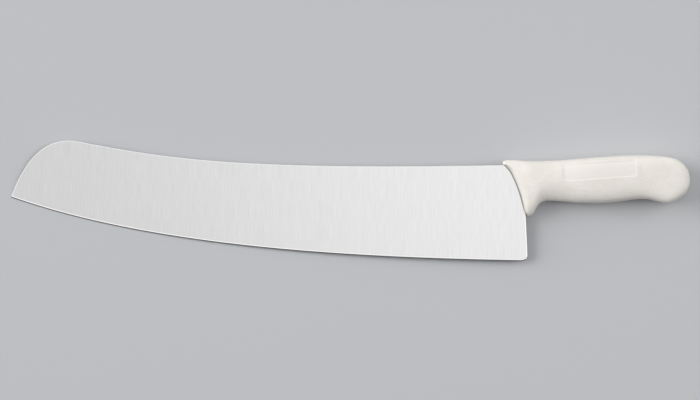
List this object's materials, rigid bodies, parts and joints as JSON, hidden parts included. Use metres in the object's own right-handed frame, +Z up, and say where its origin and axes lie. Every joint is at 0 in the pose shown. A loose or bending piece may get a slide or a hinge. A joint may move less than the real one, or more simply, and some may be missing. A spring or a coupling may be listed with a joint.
{
  "type": "pizza knife",
  "caption": "Long curved rocking blade with a blunt clipped nose, taper-ground to its edge, in a moulded white plastic handle with a finger guard.",
  "frame": {"origin": "middle of the bounding box's bottom, on the board that the knife lies on", "axes": "+X from the blade's tip to the handle's butt, +Y from the cutting edge to the spine, +Z up, out of the side with the sunk panel"},
  "size_m": [0.6, 0.1068, 0.0281],
  "materials": {
    "steel": "stainless steel, ground across the blade from spine to edge",
    "plastic": "white moulded polypropylene with a fine texture"
  },
  "bodies": {
    "root": {"blade": "steel", "handle": "plastic"}
  },
  "joints": []
}
